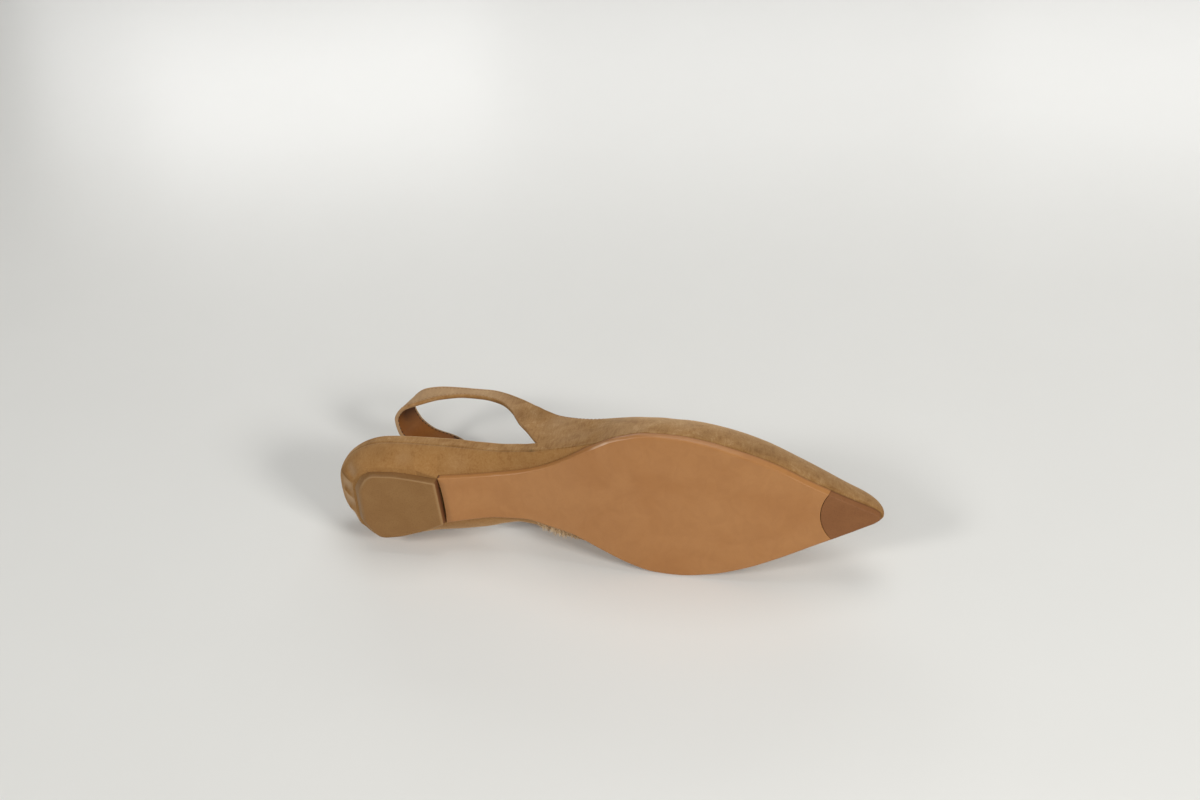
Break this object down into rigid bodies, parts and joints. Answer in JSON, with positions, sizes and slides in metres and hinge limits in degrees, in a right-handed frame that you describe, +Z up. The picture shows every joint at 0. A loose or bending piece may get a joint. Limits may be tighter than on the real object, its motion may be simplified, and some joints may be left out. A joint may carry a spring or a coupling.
{
  "type": "slingback shoe",
  "caption": "Pointed flat slingback shoe lying on its side: suede upper with a heel strap, padded insole, covered low heel, leather outsole, rubber toe insert and heel lift.",
  "frame": {"origin": "middle of the bounding box, on the floor that the shoe lies on", "axes": "+X from heel to toe, +Z up from the floor, the sole faces -Y and the strap is on the +Y side"},
  "size_m": [0.2656, 0.0876, 0.0756],
  "materials": {
    "suede": "napped suede, matte",
    "lining": "smooth lining leather",
    "sole_leather": "smooth sole leather, satin",
    "tip_rubber": "fine matte rubber",
    "lift_rubber": "matte rubber"
  },
  "bodies": {
    "root": {"upper": "suede", "heel_wrap": "suede", "insole": "lining", "outsole": "sole_leather", "toe_tip": "tip_rubber", "heel_lift": "lift_rubber"}
  },
  "joints": []
}
